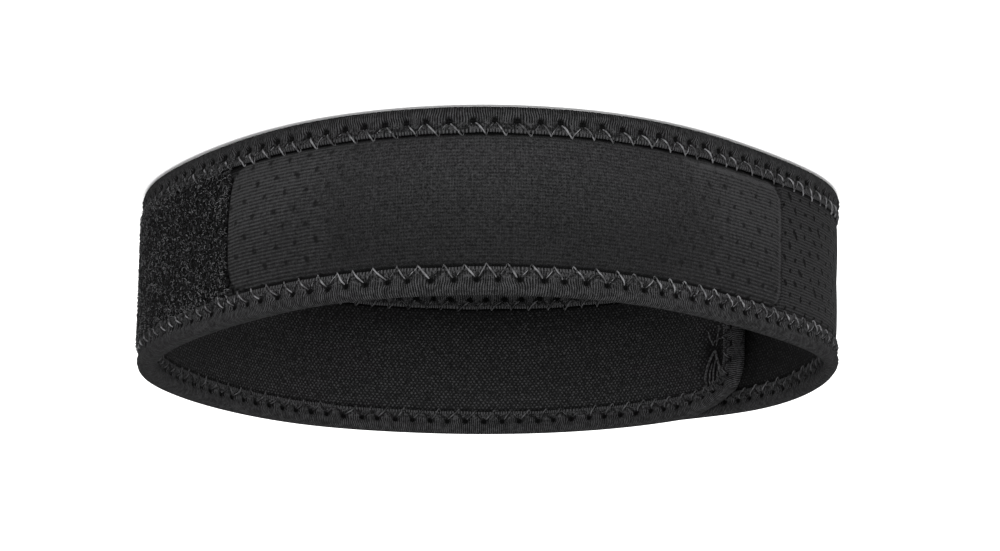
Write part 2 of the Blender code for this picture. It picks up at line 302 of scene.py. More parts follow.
# %% A small language for finishes
class Value:
    """A number that changes over a surface: one output socket, with arithmetic."""

    def __init__(self, finish, socket):
        self.finish = finish
        self.socket = socket

    def sum(self, operation, first, second=None):
        inputs = {0: first} if second is None else {0: first, 1: second}
        return self.finish.node("ShaderNodeMath", {"operation": operation}, inputs, 0)

    def __add__(self, other):
        return self.sum("ADD", self, other)

    def __sub__(self, other):
        return self.sum("SUBTRACT", self, other)

    def __rsub__(self, other):
        return self.sum("SUBTRACT", other, self)

    def __mul__(self, other):
        return self.sum("MULTIPLY", self, other)

    def __truediv__(self, other):
        return self.sum("DIVIDE", self, other)

    def __pow__(self, other):
        return self.sum("POWER", self, other)

    __radd__ = __add__

    def wave(self, length):
        """A smooth wave from 0 to 1 that repeats over a length."""
        return self.sum("SINE", self * (2 * pi / length)) * 0.5 + 0.5

    def fraction(self):
        return self.sum("FRACT", self)

    def floor(self):
        return self.sum("FLOOR", self)

    def absolute(self):
        return self.sum("ABSOLUTE", self)

    def ramp(self, low, high):
        """0 at low, 1 at high, with a soft rise between."""
        settings = {"interpolation_type": "SMOOTHSTEP"}
        return self.finish.node("ShaderNodeMapRange", settings, {0: self, 1: low, 2: high}, 0)


class Finish:
    """A material with its shader, built from values."""

    def __init__(self, name, roughness, sheen=0.0, specular=0.01):
        self.material = bpy.data.materials.new(name)
        self.material.use_nodes = True
        self.tree = self.material.node_tree
        self.shader = self.tree.nodes["Principled BSDF"]
        self.shader.inputs["Roughness"].default_value = roughness
        self.shader.inputs["Sheen Weight"].default_value = sheen
        self.shader.inputs["Sheen Roughness"].default_value = 0.5
        self.shader.inputs["Specular IOR Level"].default_value = specular

    def link(self, value, socket):
        """Set a socket to a number or colour, or link it to a value."""
        if isinstance(value, Value):
            self.tree.links.new(value.socket, socket)
        else:
            socket.default_value = value

    def node(self, kind, settings, inputs, output):
        """Add a node: its settings, then its inputs, and hand back one of its outputs."""
        node = self.tree.nodes.new(kind)
        for name, value in settings.items():
            setattr(node, name, value)
        for name, value in inputs.items():
            self.link(value, node.inputs[name])
        return Value(self, node.outputs[output])

    def flat_cloth(self):
        """Where a point lies on the flat cloth: along and across, in metres."""
        place = self.node("ShaderNodeUVMap", {"uv_map": "flat_cloth"}, {}, "UV")
        split = self.node("ShaderNodeSeparateXYZ", {}, {0: place}, 0).socket.node
        return Value(self, split.outputs[0]), Value(self, split.outputs[1]), place

    def in_space(self):
        """Where a point lies on the object."""
        return self.node("ShaderNodeTexCoord", {}, {}, "Object")

    def noise(self, place, scale, detail=2.0, roughness=0.5):
        inputs = {"Vector": place, "Scale": scale, "Detail": detail, "Roughness": roughness}
        return self.node("ShaderNodeTexNoise", {}, inputs, 0)

    def mix(self, share, first, second):
        """A colour between two colours."""
        inputs = {"Factor": share}
        node = self.node("ShaderNodeMix", {"data_type": "RGBA"}, inputs, 2).socket.node
        colours = [s for s in node.inputs if s.type == "RGBA"]
        self.link(first, colours[0])
        self.link(second, colours[1])
        return Value(self, next(s for s in node.outputs if s.type == "RGBA"))

    def colour(self, value):
        self.link(value, self.shader.inputs["Base Color"])

    def relief(self, value, height):
        """Raise the surface by a value times a height in metres, as bump."""
        inputs = {"Height": value, "Distance": height, "Strength": 1.0}
        bump = self.node("ShaderNodeBump", {}, inputs, "Normal")
        self.link(bump, self.shader.inputs["Normal"])


STUDIO = 1.35


def grey(level):
    """A neutral cloth black of one brightness, set against the strength of the studio light."""
    return (level / STUDIO, level / STUDIO, level * 1.03 / STUDIO, 1.0)


# %% [markdown]
# The camera looks at the strap as the photograph does: a long lens about 80 cm away, eleven and
# a half degrees from the strap's level. The strap rests on the rim that the photograph shows at
# the top, so the camera is rolled half a turn to bring that rim up again. Its small shift
# frames the loop as in the photograph.

# %% Camera
CAMERA_DISTANCE = 12 * LOOP_RADIUS
CAMERA_HEIGHT_ANGLE = 0.2011
PIXELS_WIDE = 1000
FOCAL_PIXELS = 4313.7
LOOP_CENTRE_PIXEL = (486.21, 285.6)
PICTURE_CENTRE_PIXEL = (500, 275.5)
camera_data = bpy.data.cameras.new("photo_camera")
camera = bpy.data.objects.new("photo_camera", camera_data)
bpy.context.scene.collection.objects.link(camera)
camera_data.sensor_width = 36.0
camera_data.lens = camera_data.sensor_width * FOCAL_PIXELS / PIXELS_WIDE
camera_data.shift_x = (PICTURE_CENTRE_PIXEL[0] - LOOP_CENTRE_PIXEL[0]) / PIXELS_WIDE
camera_data.shift_y = (LOOP_CENTRE_PIXEL[1] - PICTURE_CENTRE_PIXEL[1]) / PIXELS_WIDE
sine, cosine = sin(CAMERA_HEIGHT_ANGLE), cos(CAMERA_HEIGHT_ANGLE)
turned = Matrix(((-1, 0, 0), (0, -sine, -cosine), (0, -cosine, sine))).transposed().to_4x4()
away = Vector((0, -cosine, sine)) * CAMERA_DISTANCE
camera.matrix_world = Matrix.Translation(Vector((*CENTRING, STRAP_WIDTH / 2)) + away) @ turned
bpy.context.scene.camera = camera
print("camera at", [round(x, 4) for x in camera.location])

# %% [markdown]
# The photograph is a catalogue picture: even white light from everywhere, and a white ground.
# A near white floor and a white world give that. A small soft lamp low in front and a large one
# above add the little direction that shows the ribs. STUDIO raises all the light and darkens
# every cloth grey by the same factor, so the floor turns whiter while the cloth stays as it is.


# %% Floor and light
def soft_lamp(name, place, aim, size, power):
    """A soft rectangular lamp that the camera does not see."""
    data = bpy.data.lights.new(name, "AREA")
    data.shape = "RECTANGLE"
    data.size, data.size_y = size
    data.energy = power
    lamp = bpy.data.objects.new(name, data)
    lamp.location = place
    lamp.rotation_euler = (Vector(aim) - Vector(place)).to_track_quat("-Z", "Y").to_euler()
    lamp.visible_camera = False
    bpy.context.scene.collection.objects.link(lamp)


clear_selection()
bpy.ops.mesh.primitive_plane_add(size=6, location=(0, 0, -0.0002))
floor = bpy.context.object
floor.name = "floor"
paper = Finish("white_paper", 0.9, specular=0.1)
paper.colour((0.93, 0.93, 0.93, 1.0))
floor.data.materials.append(paper.material)
world = bpy.data.worlds.new("studio")
bpy.context.scene.world = world
world.use_nodes = True
world.node_tree.nodes["Background"].inputs["Color"].default_value = (1, 1, 1, 1)
world.node_tree.nodes["Background"].inputs["Strength"].default_value = 0.35 * STUDIO
soft_lamp("front_softbox", (0.0, -1.0, 0.13), (0, 0, 0.02), (0.40, 0.14), 14 * STUDIO)
soft_lamp("top_softbox", (-0.05, -0.26, 1.0), (0, -0.1, 0), (1.1, 1.1), 21 * STUDIO)
bpy.context.scene.view_settings.view_transform = "Standard"

# %% [markdown]
# The edge tape is one knit tape, folded over the strap's edge all round: along both rims and
# round both rounded ends. It is modelled as one stitch's length of folded tape. The first
# strip is a grid, its edge is extruded along the section of the folded tape, and the last row
# meets the first. Needle holes are pushed in with proportional editing. An Array modifier
# then repeats the stitch round the whole edge.

# %% One stitch of folded tape
mm = 0.001
STITCH_COLUMNS = 8
ZIGZAG_PITCH = 3.96
edge_lengths = [STRAP_LENGTH - 2 * END_CORNER, pi / 2 * END_CORNER, STRAP_WIDTH - 2 * END_CORNER,
                pi / 2 * END_CORNER] * 2
EDGE_MARKS = np.concatenate([[0.0], np.cumsum(edge_lengths)])
EDGE_LENGTH = float(EDGE_MARKS[-1])
STITCH_COUNT = round(EDGE_LENGTH / (ZIGZAG_PITCH * mm))
STITCH = EDGE_LENGTH / STITCH_COUNT
print(f"edge {EDGE_LENGTH:.4f} m, {STITCH_COUNT} stitches of {STITCH * 1000:.2f} mm")

OUTER_LEG = [
    # (in from the rim, out of the tape's face), in millimetres
    (4.80, -0.52), (4.86, -0.30), (4.74, -0.10), (4.40, -0.01), (3.90, -0.03), (3.40, -0.10),
    (3.00, -0.20), (2.70, -0.26), (2.40, -0.20), (2.05, -0.04), (1.60, 0.08), (1.15, 0.06),
    (0.70, -0.08), (0.35, -0.34), (0.11, -0.74), (0.00, -1.25),
]
NEEDLE_ROW = 7
FOLD_MIDDLE = PLAIN_DEPTH / mm
INNER_LEG = [(inset, -FOLD_MIDDLE - out) for inset, out in OUTER_LEG[-2::-1]]
HIDDEN_SIDE = [(4.10, -1.95), (0.85, -1.90), (0.65, -1.25), (0.85, -0.60), (4.10, -0.55)]
SECTION = OUTER_LEG + INNER_LEG + HIDDEN_SIDE + OUTER_LEG[:1]


def select_where(piece, chosen):
    """Select, in object mode, the points for which the mask is true."""
    mesh = piece.data
    mesh.polygons.foreach_set("select", np.zeros(len(mesh.polygons), bool))
    mesh.edges.foreach_set("select", np.zeros(len(mesh.edges), bool))
    mesh.vertices.foreach_set("select", np.asarray(chosen, bool))


def push(piece, chosen, move, reach=0.0):
    """Move the chosen points, and with a reach also their neighbours a little."""
    bpy.ops.object.mode_set(mode="OBJECT")
    select_where(piece, chosen)
    bpy.ops.object.mode_set(mode="EDIT")
    if reach:
        bpy.ops.transform.translate(value=move, use_proportional_edit=True,
                                    proportional_edit_falloff="SMOOTH", proportional_size=reach,
                                    use_proportional_connected=True)
    else:
        bpy.ops.transform.translate(value=move)
    bpy.ops.object.mode_set(mode="OBJECT")


clear_selection()
bpy.ops.mesh.primitive_grid_add(x_subdivisions=STITCH_COLUMNS, y_subdivisions=1, size=1)
edge_tape = bpy.context.object
edge_tape.name = "edge_tape"
strip = points_of(edge_tape)
first_row = strip[:, 1] < 0
strip[:, 0] = (strip[:, 0] + 0.5) * STITCH
for row, (inset, out) in ((first_row, SECTION[0]), (~first_row, SECTION[1])):
    strip[row, 1] = inset * mm
    strip[row, 2] = out * mm
move_points(edge_tape, strip)
bpy.ops.object.mode_set(mode="EDIT")
bpy.ops.mesh.select_mode(type="VERT")
bpy.ops.object.mode_set(mode="OBJECT")
select_where(edge_tape, ~first_row)
bpy.ops.object.mode_set(mode="EDIT")
bpy.ops.mesh.select_mode(type="EDGE")
bpy.ops.mesh.select_mode(type="VERT")
for before, after in zip(SECTION[1:], SECTION[2:]):
    move = (0, (after[0] - before[0]) * mm, (after[1] - before[1]) * mm)
    bpy.ops.mesh.extrude_region_move(TRANSFORM_OT_translate={"value": move})
bpy.ops.mesh.select_all(action="SELECT")
bpy.ops.mesh.remove_doubles(threshold=0.000002)
bpy.ops.object.mode_set(mode="OBJECT")
print("one stitch of tape:", len(edge_tape.data.polygons), "faces")

# %% Push in the needle holes and draw in the raw edge
for leg_side in (0, 1):
    tape = points_of(edge_tape)
    needle_inset = OUTER_LEG[NEEDLE_ROW][0] * mm
    needle_out = OUTER_LEG[NEEDLE_ROW][1] * mm
    level = needle_out if leg_side == 0 else -PLAIN_DEPTH - needle_out
    inward = -1 if leg_side == 0 else 1
    at_needle = (abs(tape[:, 0] - STITCH / 2) < 0.0001) & (abs(tape[:, 1] - needle_inset) < 0.0001)
    at_needle &= abs(tape[:, 2] - level) < 0.0001
    push(edge_tape, at_needle, (0, 0, 0.00100 * inward), 0.00115)
    tape = points_of(edge_tape)
    at_apex = (np.minimum(tape[:, 0], STITCH - tape[:, 0]) < 0.0001) & (tape[:, 1] > 0.0043)
    at_apex &= (tape[:, 2] > -PLAIN_DEPTH / 2) == (leg_side == 0)
    push(edge_tape, at_apex, (0, -0.00020, 0.00020 * inward))
    tape = points_of(edge_tape)
    at_puff = (np.minimum(tape[:, 0], STITCH - tape[:, 0]) < 0.0006)
    at_puff &= (tape[:, 1] > 0.0013) & (tape[:, 1] < 0.0032)
    at_puff &= abs(tape[:, 2] + PLAIN_DEPTH / 2) > PLAIN_DEPTH / 2 - 0.0003
    at_puff &= (tape[:, 2] > -PLAIN_DEPTH / 2) == (leg_side == 0)
    push(edge_tape, at_puff, (0, 0, -0.00014 * inward))


# %% [markdown]
# The edge runs straight, round a corner, up the end, round a corner, and back. This function
# turns a distance along the edge and a distance in from it into a place on the strap. Sewing
# is never quite even, so a few slow seeded waves crowd and spread the stitches, for the tape
# and its threads alike.

# %% From the edge to the strap
rng = np.random.default_rng(7)
WAVES = [(int(w), rng.uniform(0, 2 * pi), rng.uniform(0.6, 1.0)) for w in (37, 61, 83, 104, 127)]
DRIFTS = [(int(w), rng.uniform(0, 2 * pi), rng.uniform(0.5, 1.0)) for w in (29, 53, 71, 97)]
HEADINGS = np.radians([0, 0, 90, 90, 180, 180, 270, 270])
EDGE_STARTS = np.array([
    (END_CORNER, 0), (STRAP_LENGTH - END_CORNER, 0), (STRAP_LENGTH, END_CORNER),
    (STRAP_LENGTH, STRAP_WIDTH - END_CORNER), (STRAP_LENGTH - END_CORNER, STRAP_WIDTH),
    (END_CORNER, STRAP_WIDTH), (0, STRAP_WIDTH - END_CORNER), (0, END_CORNER),
])


def ripple(along, waves):
    """A seeded unevenness that closes on itself after one round of the edge."""
    total = np.zeros_like(along)
    for count, start, size in waves:
        total += size * np.sin(2 * pi * count * along / EDGE_LENGTH + start)
    return total


def edge_to_strap(along, inset, out):
    """Run, height and out of points beside the strap's edge."""
    share = smooth_step((inset - 0.0008) / 0.0018)
    along = along + 0.00016 * ripple(along, WAVES) * share
    inset = inset + 0.00004 * ripple(along, DRIFTS) * share
    along = np.mod(along, EDGE_LENGTH)
    part = np.clip(np.searchsorted(EDGE_MARKS, along, side="right") - 1, 0, 7)
    local = along - EDGE_MARKS[part]
    heading = HEADINGS[part]
    start = EDGE_STARTS[part]
    straight = start + local[:, None] * np.column_stack([np.cos(heading), np.sin(heading)])
    inward = np.column_stack([-np.sin(heading), np.cos(heading)])
    straight = straight + inset[:, None] * inward
    centre = start + END_CORNER * inward
    angle = heading - pi / 2 + local / END_CORNER
    around = centre + (END_CORNER - inset)[:, None] * np.column_stack([np.cos(angle), np.sin(angle)])
    flat = np.where((part % 2 == 1)[:, None], around, straight)
    deeper = tape_depth(flat[:, 0]) - PLAIN_DEPTH
    through = np.clip((-out - TAPE_THICKNESS) / (PLAIN_DEPTH - 2 * TAPE_THICKNESS), 0, 1)
    return flat[:, 0], flat[:, 1], out - deeper * through


def repeat_round_edge(piece, dice=None):
    """Array one stitch all round the edge; dice make each stitch of thread a little different."""
    array = piece.modifiers.new("stitches", "ARRAY")
    array.count = STITCH_COUNT
    array.use_relative_offset = False
    array.use_constant_offset = True
    array.constant_offset_displace = (STITCH, 0, 0)
    array.use_merge_vertices = True
    array.merge_threshold = 0.000005
    apply_modifiers(piece)
    flat = points_of(piece)
    lay_out_uv(piece, flat[:, 0], flat[:, 1])
    if dice:
        stitch = ((flat[:, 0] / STITCH - 0.5) // 1).astype(int) % STITCH_COUNT
        slack = smooth_step((flat[:, 1] - 0.0029) / 0.0018)
        for axis, spread in ((0, 0.00022), (1, 0.00012), (2, 0.00006)):
            flat[:, axis] += dice.normal(0, spread, STITCH_COUNT)[stitch] * slack
    wrap(piece, *edge_to_strap(flat[:, 0], flat[:, 1], flat[:, 2]))


repeat_round_edge(edge_tape)
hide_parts("edge_binding")
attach(edge_tape, "root")

# %% [markdown]
# The zigzag thread comes up through a needle hole in the middle of the tape, crosses to the
# raw edge, dips over it, and comes back down the next hole. One zigzag is a thin round curve
# made into a mesh. Its one arm is pulled tighter and looks thinner, as in the photograph.

# %% Zigzag thread
ZIGZAG = [
    # (along the edge from a needle hole, in from the rim, out, thickness share), in millimetres
    (0.05, 2.75, -1.10, 0.8), (0.26, 3.02, -0.72, 0.9), (0.56, 3.34, -0.26, 1.1),
    (0.90, 3.72, 0.03, 1.30), (1.22, 4.08, 0.04, 1.3), (1.54, 4.46, -0.16, 1.0),
    (1.82, 4.82, -0.20, 1.0), (2.04, 5.14, -0.12, 1.1), (2.22, 5.46, -0.55, 0.7),
    (2.26, 5.00, -0.50, 0.55), (2.44, 4.62, -0.22, 0.6), (2.76, 4.18, -0.08, 0.7),
    (3.12, 3.72, -0.08, 0.7), (3.46, 3.30, -0.34, 0.6), (3.90, 2.75, -1.10, 0.6),
]
THREAD_RADIUS = 0.00014


def round_curve(name, points, radius):
    """A thin round cord through points, made a mesh; each point has its own thickness share."""
    clear_selection()
    bpy.ops.curve.primitive_nurbs_path_add(radius=1, location=(0, 0, 0))
    cord = bpy.context.object
    curve = cord.data
    spline = curve.splines[0]
    spline.points.add(max(0, len(points) - len(spline.points)))
    for point, (x, y, z, share) in zip(spline.points, points):
        point.co = (x, y, z, 1)
        point.radius = share
    spline.order_u = 3
    spline.use_endpoint_u = True
    curve.resolution_u = 1
    curve.bevel_depth = radius
    curve.bevel_resolution = 1
    curve.use_fill_caps = True
    bpy.ops.object.convert(target="MESH")
    cord = bpy.context.object
    cord.name = name
    cord.data.materials.clear()
    return cord


def make_thread(name, inside, seed):
    """One zigzag from needle hole to needle hole, repeated round the edge."""
    points = []
    for along, inset, out, share in ZIGZAG:
        level = -PLAIN_DEPTH - out * mm if inside else out * mm
        points.append((STITCH / 2 + along * STITCH / ZIGZAG_PITCH, inset * mm, level, share))
    thread = round_curve(name, points, THREAD_RADIUS)
    dice = np.random.default_rng(seed)
    repeat_round_edge(thread, dice)
    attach(thread, "root")
    return thread


thread_outside = make_thread("thread_outside", False, 21)
thread_inside = make_thread("thread_inside", True, 22)


# %% [markdown]
# The band, the facing's backing and the pad are all flat panels with rounded corners. One
# helper cuts such a panel: a grid is extruded once, so it has an outer face, a back and a
# closed edge, and its end columns are drawn in to round the corners. Each piece then gives
# its faces their own depths.

# %% Cut a flat panel
def cut_panel(name, start, end, low, high, corner, spacing, rows, corner_columns=6):
    """A closed slab; returns it with run, height, its outer-face mask and distance inside."""
    bend = np.linspace(0, pi / 2, corner_columns + 1)
    middle = np.linspace(start + corner, end - corner, max(2, round((end - start) / spacing)))
    runs = np.concatenate([start + corner * (1 - np.cos(bend)), middle[1:-1],
                           end - corner + corner * np.sin(bend)])
    clear_selection()
    bpy.ops.mesh.primitive_grid_add(x_subdivisions=len(runs) - 1, y_subdivisions=rows, size=1)
    piece = bpy.context.object
    piece.name = name
    bpy.ops.object.mode_set(mode="EDIT")
    bpy.ops.mesh.select_all(action="SELECT")
    bpy.ops.mesh.extrude_region_move(TRANSFORM_OT_translate={"value": (0, 0, -1)})
    bpy.ops.object.mode_set(mode="OBJECT")
    points = points_of(piece)
    column = np.rint((points[:, 0] + 0.5) * (len(runs) - 1)).astype(int)
    run = runs[column]
    nearest_end = np.minimum(run - start, end - run)
    into_corner = np.clip(corner - nearest_end, 0, corner)
    rise = corner - np.sqrt(np.maximum(corner ** 2 - into_corner ** 2, 0))
    height = low + rise + (high - low - 2 * rise) * (points[:, 1] + 0.5)
    past_along = abs(run - (start + end) / 2) - ((end - start) / 2 - corner)
    past_up = abs(height - (low + high) / 2) - ((high - low) / 2 - corner)
    beyond = np.hypot(np.maximum(past_along, 0), np.maximum(past_up, 0))
    inside = corner - beyond - np.minimum(np.maximum(past_along, past_up), 0)
    return piece, run, height, points[:, 2] > -0.5, np.maximum(inside, 0)


# %% [markdown]
# The band is neoprene with knit on both sides. Its edge lies inside the folded tape, squeezed
# thinner there by the stitching, and it swells a little beside it.

# %% The neoprene band
BAND_INSET = 0.0016
TUCK_MIDDLE = (0.0080, 0.0228)
TUCK_REACH = (0.0040, 0.0092)
band_knit, run, height, outer, inside = cut_panel(
    "band_knit", BAND_INSET, STRAP_LENGTH - BAND_INSET, BAND_INSET, STRAP_WIDTH - BAND_INSET,
    END_CORNER - BAND_INSET, 0.0009, 28)
open_share = smooth_step((inside + BAND_INSET - 0.0042) / 0.0022)
lip = np.maximum(TAPE_THICKNESS + TAPE_GAP, band_face_depth(run))
face = lip + (band_face_depth(run) - lip) * open_share
swell = 0.00012 * np.sin(pi * np.clip((inside + BAND_INSET - 0.0048) / 0.0119, 0, 1))
back = tape_depth(run) - TAPE_THICKNESS - TAPE_GAP
back = back + (TAPE_THICKNESS + TAPE_GAP - BAND_BELOW_TAPE) * open_share + swell
hollow_and_shade = ((run - TUCK_MIDDLE[0]) / TUCK_REACH[0]) ** 2
hollow_and_shade = hollow_and_shade + ((height - TUCK_MIDDLE[1]) / TUCK_REACH[1]) ** 2
hollow_and_shade = np.exp(-1.5 * hollow_and_shade ** 2)
back = back - 0.0009 * hollow_and_shade
lay_out_uv(band_knit, run, height)
side = band_knit.data.attributes.new("lining_side", "FLOAT", "POINT")
side.data.foreach_set("value", (~outer).astype(np.float32))
# The recess round the tuck is kept on the lining, for painted shade in the band's finish.
shade = band_knit.data.attributes.new("tuck_hollow_shade", "FLOAT", "POINT")
shade.data.foreach_set("value", (hollow_and_shade * ~outer).astype(np.float32))
wrap(band_knit, run, height, np.where(outer, swell - face, -back))
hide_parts("strap_band")
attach(band_knit, "root")

# %% [markdown]
# Near the strap's inner end the lining is gathered into a small tuck: two folded arms that meet
# in a point, with a few strands between them, in a recess beside the tape that the band's finish
# fills with painted shade. Each arm and strand is a short round cord, bent along the lining, and
# they are joined into one piece.

# %% The gathered tuck
TUCK = [
    # (radius, then (run, height, above the lining)), in millimetres
    (0.25, [(8.0, 18.6, -0.5), (8.3, 20.2, 0.2), (9.3, 22.2, 0.5), (10.1, 24.4, 0.5),
            (10.4, 26.6, 0.4), (10.3, 28.8, -0.2)]),
    (0.27, [(8.2, 19.2, -0.4), (7.6, 20.4, 0.3), (6.6, 22.0, 0.6), (5.9, 24.0, 0.6),
            (5.9, 26.4, 0.5), (6.8, 29.0, -0.2)]),
    (0.17, [(8.9, 22.0, -0.3), (9.1, 23.4, 0.2), (9.2, 25.4, 0.3), (9.2, 27.2, 0.3), (9.1, 28.8, -0.2)]),
    (0.17, [(8.0, 21.6, -0.2), (8.1, 23.2, 0.2), (8.2, 25.2, 0.3), (8.1, 27.4, 0.3), (8.2, 29.0, -0.2)]),
    (0.15, [(7.2, 23.0, -0.1), (7.1, 24.6, 0.3), (7.3, 26.4, 0.3), (7.3, 27.8, 0.3), (7.5, 29.2, -0.2)]),
    (0.20, [(9.8, 13.0, -0.3), (9.6, 14.5, 0.3), (9.3, 16.0, 0.4), (8.8, 17.6, 0.2), (8.2, 19.0, -0.3)]),
    (0.20, [(6.4, 12.5, -0.3), (6.2, 14.0, 0.3), (6.6, 16.0, 0.4), (7.2, 17.6, 0.2), (7.9, 19.0, -0.3)]),
    (0.13, [(5.2, 17.0, -0.2), (6.0, 17.4, 0.5), (7.0, 17.2, 0.6), (8.0, 17.9, 0.3), (8.8, 18.0, -0.2)]),
    (0.13, [(4.0, 27.0, -0.2), (4.6, 26.6, 0.3), (5.4, 26.9, 0.5), (6.2, 26.4, 0.4), (6.9, 26.8, -0.2)]),
]
cords = []
for radius, line in TUCK:
    places = [(x * mm, y * mm, z * mm, 1.0) for x, y, z in line]
    cords.append(round_curve("tuck_cord", places, radius * mm))
clear_selection()
for cord in cords:
    cord.select_set(True)
tuck_folds = cords[0]
bpy.context.view_layer.objects.active = tuck_folds
bpy.ops.object.join()
tuck_folds.name = "tuck_folds"
flat = points_of(tuck_folds)
lay_out_uv(tuck_folds, flat[:, 0], flat[:, 1])
lining_depth = tape_depth(flat[:, 0]) - 0.0010
wrap(tuck_folds, flat[:, 0], flat[:, 1], -lining_depth - flat[:, 2])
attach(tuck_folds, "root")

# %% [markdown]
# The pad's cover is cloth that the soft filling pushes out. A short cloth run shapes it: the
# cover lies flat and is enlarged ten times, its sewn border is pinned, it is cut a little too
# large, and an even pressure fills it for twenty frames.

# %% Puff up a cover as cloth
CLOTH_SCALE = 10
CLOTH_LAYER = 0.0004
CLOTH_FRAMES = 20
CLOTH_PRESSURE = 3.0
CLOTH_LOOSENESS = 0.03
PINNED_BORDER = 0.0007


def puffed_cloth(cover, run, height, outer, free):
    """How far a pinned cloth stands out under pressure, as a share of its highest part."""
    flat = np.column_stack([run, height, np.where(outer, CLOTH_LAYER, 0.0)]) * CLOTH_SCALE
    move_points(cover, flat)
    clear_selection()
    bpy.context.view_layer.objects.active = cover
    cover.select_set(True)
    bpy.ops.object.mode_set(mode="EDIT")
    bpy.ops.mesh.select_all(action="SELECT")
    bpy.ops.mesh.normals_make_consistent(inside=False)
    bpy.ops.object.mode_set(mode="OBJECT")
    pins = cover.vertex_groups.new(name="sewn_down")
    pins.add([int(i) for i in np.flatnonzero(~free)], 1.0, "REPLACE")
    cloth = cover.modifiers.new("cloth", "CLOTH")
    cloth.settings.vertex_group_mass = "sewn_down"
    cloth.settings.quality = 5
    cloth.settings.use_pressure = True
    cloth.settings.uniform_pressure_force = CLOTH_PRESSURE
    cloth.settings.shrink_min = -CLOTH_LOOSENESS
    cloth.settings.effector_weights.gravity = 0
    cloth.point_cache.frame_start = 1
    cloth.point_cache.frame_end = CLOTH_FRAMES
    for moment in range(1, CLOTH_FRAMES + 1):
        bpy.context.scene.frame_set(moment)
    apply_modifiers(cover)
    bpy.context.scene.frame_set(1)
    cover.vertex_groups.clear()
    rise = points_of(cover)[:, 2] / CLOTH_SCALE - CLOTH_LAYER
    print(f"the cloth rose by {rise[free].min() * 1000:.2f} to {rise[free].max() * 1000:.2f} mm")
    return np.where(free, np.clip(rise / np.percentile(rise[free], 98), 0, 1.05), 0)


# %% [markdown]
# The padded panel has a soft crown, thin edges that tuck in beside the tape, and a few shallow
# folds where it bends round the front. Half of the crown's form comes from the cloth run and
# half from the CAD model's crown, so that the cover stays close to its solid. The solver does
# not give quite the same cloth twice: single points were up to 0.3 mm apart between runs.

# %% The front pad
PAD_FOLDS = [
    # (along, up, half length along, half width up, depth)
    (0.70, 0.17, 0.17, 0.10, 0.55), (0.86, 0.30, 0.08, 0.13, 0.30),
    (0.07, 0.62, 0.05, 0.16, 0.30), (0.40, 0.88, 0.22, 0.08, 0.35),
]
PAD_LOW = TAPE_WIDTH + SEAT_GAP / 3
pad_cover, run, height, outer, inside = cut_panel(
    "pad_cover", PAD_START - 0.0003, PAD_END + 0.0004, PAD_LOW, STRAP_WIDTH - PAD_LOW,
    PAD_CORNER_SEWN, 0.0006, 44, 10)
crown = 1 - (1 - np.minimum(inside / PAD_SHOULDER, 1)) ** 2.5
free = outer & (inside > PINNED_BORDER)
puff = puffed_cloth(pad_cover, run, height, outer, free)
from_end = np.minimum(run - run.min(), run.max() - run)
bead = 0.00055 * (1 - (1 - np.minimum(inside / 0.0011, 1)) ** 2)
bead += 0.00030 * np.exp(-((from_end - 0.0011) / 0.0008) ** 2)
along = (run - PAD_START) / PAD_LENGTH
up = (height - PAD_LOW) / (STRAP_WIDTH - 2 * PAD_LOW)
folds = np.zeros_like(run)
for at_along, at_up, half_long, half_wide, depth in PAD_FOLDS:
    reach = ((along - at_along) / half_long) ** 2 + ((up - at_up) / half_wide) ** 2
    folds += depth * np.exp(-1.5 * reach)
seat = band_face_depth(np.minimum(run, PAD_END)) - SEAT_GAP
beside_tape = np.minimum(height - PAD_LOW, STRAP_WIDTH - PAD_LOW - height)
groove = 0.0007 * (1 - smooth_step(beside_tape / 0.0012))
pucker = np.sin(2 * pi * run / STITCH + 2.5 * np.sin(run / 0.019)) * np.exp(-beside_tape / 0.0016)
crease = np.sin(2 * pi * (run + 0.5 * height) / 0.0062) * np.exp(-((along - 0.80) / 0.12) ** 2)
pucker = pucker * 0.00009 + crease * np.exp(-(height - PAD_LOW) / 0.0024) * 0.00024
filled = (PAD_RISE - 0.0002) * (crown * 0.5 + puff * 0.5) * (1 - folds)
rise = PAD_EDGE * 0.6 + bead + pucker - groove + filled
lay_out_uv(pad_cover, run - PAD_START, height)
wrap(pad_cover, run, height, np.where(outer, rise - seat, -seat))
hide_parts("front_pad")
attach(pad_cover, "root")

# %% [markdown]
# The facing's backing is the knit ground that the loop pile grows from.

# %% The backing of the loop facing
FACING_LOW = TAPE_WIDTH + SEAT_GAP / 3
pile_backing, run, height, outer, inside = cut_panel(
    "pile_backing", FACING_LOW, FACING_END, FACING_LOW, STRAP_WIDTH - FACING_LOW,
    END_CORNER - FACING_LOW, 0.001, 24)
face = 0.00030 - 0.0011 * (1 - smooth_step(inside / 0.0013))
seat = FACING_THICKNESS - FACING_ABOVE_TAPE
lay_out_uv(pile_backing, run, height)
wrap(pile_backing, run, height, np.where(outer, face, -seat))
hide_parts("loop_facing")
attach(pile_backing, "root")

# %% [markdown]
# Loop pile is a tangle of fine curled fibres. One curl is modelled once: a three-sided circle
# is extruded and turned a few times. Thousands of copies, each with its own seeded turn, lean,
# size and place, cover the part of the facing that the tab leaves bare, and 4 mm more.

